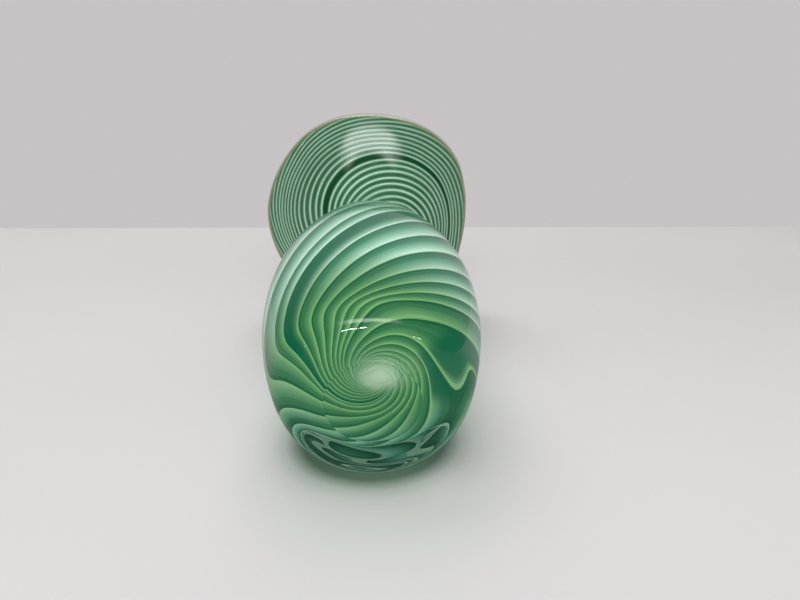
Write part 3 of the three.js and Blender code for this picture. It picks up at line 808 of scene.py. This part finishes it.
# The wall side of the room is pale, and the other side is dimmer.
tex = n.new("ShaderNodeTexCoord")
sep = n.new("ShaderNodeSeparateXYZ")
l.new(tex.outputs["Generated"], sep.inputs[0])
wall = n.new("ShaderNodeMapRange")
wall.interpolation_type = "SMOOTHSTEP"
wall.inputs["From Min"].default_value = 0.2
wall.inputs["From Max"].default_value = 0.95
wall.inputs["To Min"].default_value = 0.09
wall.inputs["To Max"].default_value = 0.62
l.new(sep.outputs[1], wall.inputs["Value"])
up = n.new("ShaderNodeMapRange")
up.inputs["From Min"].default_value = 0.1
up.inputs["From Max"].default_value = 1.0
up.inputs["To Min"].default_value = 0.0
up.inputs["To Max"].default_value = 0.40
l.new(sep.outputs[2], up.inputs["Value"])
glow = math_node(n, l, "ADD", wall.outputs["Result"], up.outputs["Result"])
path = n.new("ShaderNodeLightPath")
glossy = math_node(n, l, "SUBTRACT", 1.0, math_node(n, l, "MULTIPLY", path.outputs["Is Glossy Ray"], 0.55))
glow = math_node(n, l, "MULTIPLY", glow, glossy)
rim_light = n.new("ShaderNodeMapRange")
rim_light.interpolation_type = "SMOOTHSTEP"
rim_light.inputs["From Min"].default_value = 0.55
rim_light.inputs["From Max"].default_value = 0.85
rim_light.inputs["To Min"].default_value = 0.0
rim_light.inputs["To Max"].default_value = 0.16
l.new(sep.outputs[1], rim_light.inputs["Value"])
glow = math_node(n, l, "ADD", glow, math_node(n, l, "MULTIPLY", rim_light.outputs["Result"], path.outputs["Is Glossy Ray"]))


def band_of(value, middle, half, sharp):
    """1 near the middle, falling softly to 0 at half a width away."""
    d = math_node(n, l, "ABSOLUTE", math_node(n, l, "SUBTRACT", value, middle))
    m = n.new("ShaderNodeMapRange")
    m.interpolation_type = "SMOOTHSTEP"
    m.inputs["From Min"].default_value = half * sharp
    m.inputs["From Max"].default_value = half
    m.inputs["To Min"].default_value = 1.0
    m.inputs["To Max"].default_value = 0.0
    l.new(d, m.inputs["Value"])
    return m.outputs["Result"]


front = math_node(n, l, "LESS_THAN", sep.outputs[1], 0.0)
strip = math_node(n, l, "MULTIPLY", band_of(sep.outputs[2], 0.52, 0.11, 0.35), band_of(sep.outputs[0], -0.03, 0.52, 0.3))
strip = math_node(n, l, "MULTIPLY", math_node(n, l, "MULTIPLY", strip, front), 7.0)
glow = math_node(n, l, "ADD", glow, strip)
lit = n.new("ShaderNodeBackground")
l.new(glow, lit.inputs["Strength"])
lit.inputs["Color"].default_value = (1.0, 0.985, 0.98, 1)
pick = n.new("ShaderNodeMixShader")
l.new(path.outputs["Is Camera Ray"], pick.inputs["Fac"])
l.new(lit.outputs["Background"], pick.inputs[1])
l.new(seen.outputs["Background"], pick.inputs[2])
l.new(pick.outputs["Shader"], out.inputs["Surface"])


def area(name, azimuth, elevation, distance, sx, sy, radiance, colour=(1, 1, 1), aim=(0, -0.1, 0.05)):
    """A soft light seen from the vase at an azimuth from +Y towards +X and an elevation, with a plain brightness."""
    az, el = math.radians(azimuth), math.radians(elevation)
    way = Vector((math.sin(az) * math.cos(el), math.cos(az) * math.cos(el), math.sin(el)))
    d = bpy.data.lights.new(name, "AREA")
    d.shape = "RECTANGLE"
    d.size, d.size_y = sx, sy
    d.energy = radiance * math.pi * sx * sy
    d.color = colour
    o = bpy.data.objects.new(name, d)
    bpy.context.scene.collection.objects.link(o)
    o.location = Vector(aim) + way * distance
    o.rotation_euler = (-way).to_track_quat("-Z", "Y").to_euler()
    return o


soft = area("front_soft", 176, 38, 1.7, 1.5, 0.4, 2.2, (1.0, 0.995, 0.98))
soft.visible_glossy = False
area("front_tube", -168, 12, 1.7, 0.53, 0.045, 48.0)
area("side_tube", -126, 4, 1.7, 0.08, 0.02, 40.0)
area("right_tube", 151, 3, 1.7, 0.16, 0.018, 40.0)
top = area("top_soft", -18, 62, 1.8, 1.4, 1.0, 3.6, (1.0, 0.99, 0.97))
top.visible_glossy = False

# ------------------------------------------------------------------ camera
cam_data = bpy.data.cameras.new("camera")
cam = bpy.data.objects.new("camera", cam_data)
bpy.context.scene.collection.objects.link(cam)
bpy.context.scene.camera = cam
cam_data.lens = 27.0
cam_data.sensor_width = 36.0
cam_data.clip_start = 0.01
cam_data.clip_end = 20
foot_centre = Vector(OFFSET) / 1000
cam.location = foot_centre + Vector((1.0, -209.8, 115.2)) / 1000
cam.rotation_euler = Vector((0.0434, 0.9446, -0.3254)).to_track_quat("-Z", "Y").to_euler()

bpy.context.scene.view_settings.view_transform = "Standard"
bpy.context.scene.view_settings.look = "None"
